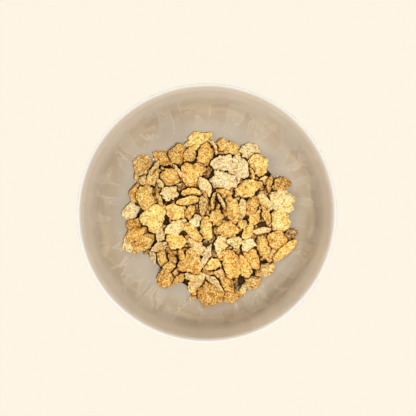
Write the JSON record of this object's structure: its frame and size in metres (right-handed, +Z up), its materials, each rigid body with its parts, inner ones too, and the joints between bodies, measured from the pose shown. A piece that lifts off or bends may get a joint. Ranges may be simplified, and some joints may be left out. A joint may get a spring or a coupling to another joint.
{
  "type": "bowl of cereal",
  "caption": "Round straight-sided stoneware bowl on a foot ring, with a low uneven heap of toasted cereal flakes on its floor.",
  "frame": {"origin": "middle of the foot ring's flat underside, on the bowl's axis", "axes": "+Z up along the bowl's axis, +X to the right and +Y to the top of the picture, which looks straight down"},
  "size_m": [0.16, 0.16, 0.062],
  "materials": {
    "stoneware": "glossy warm grey-beige glaze",
    "cereal": "dry, matt, toasted and speckled"
  },
  "bodies": {
    "root": {"bowl": "stoneware", "cereal": "cereal"}
  },
  "joints": []
}
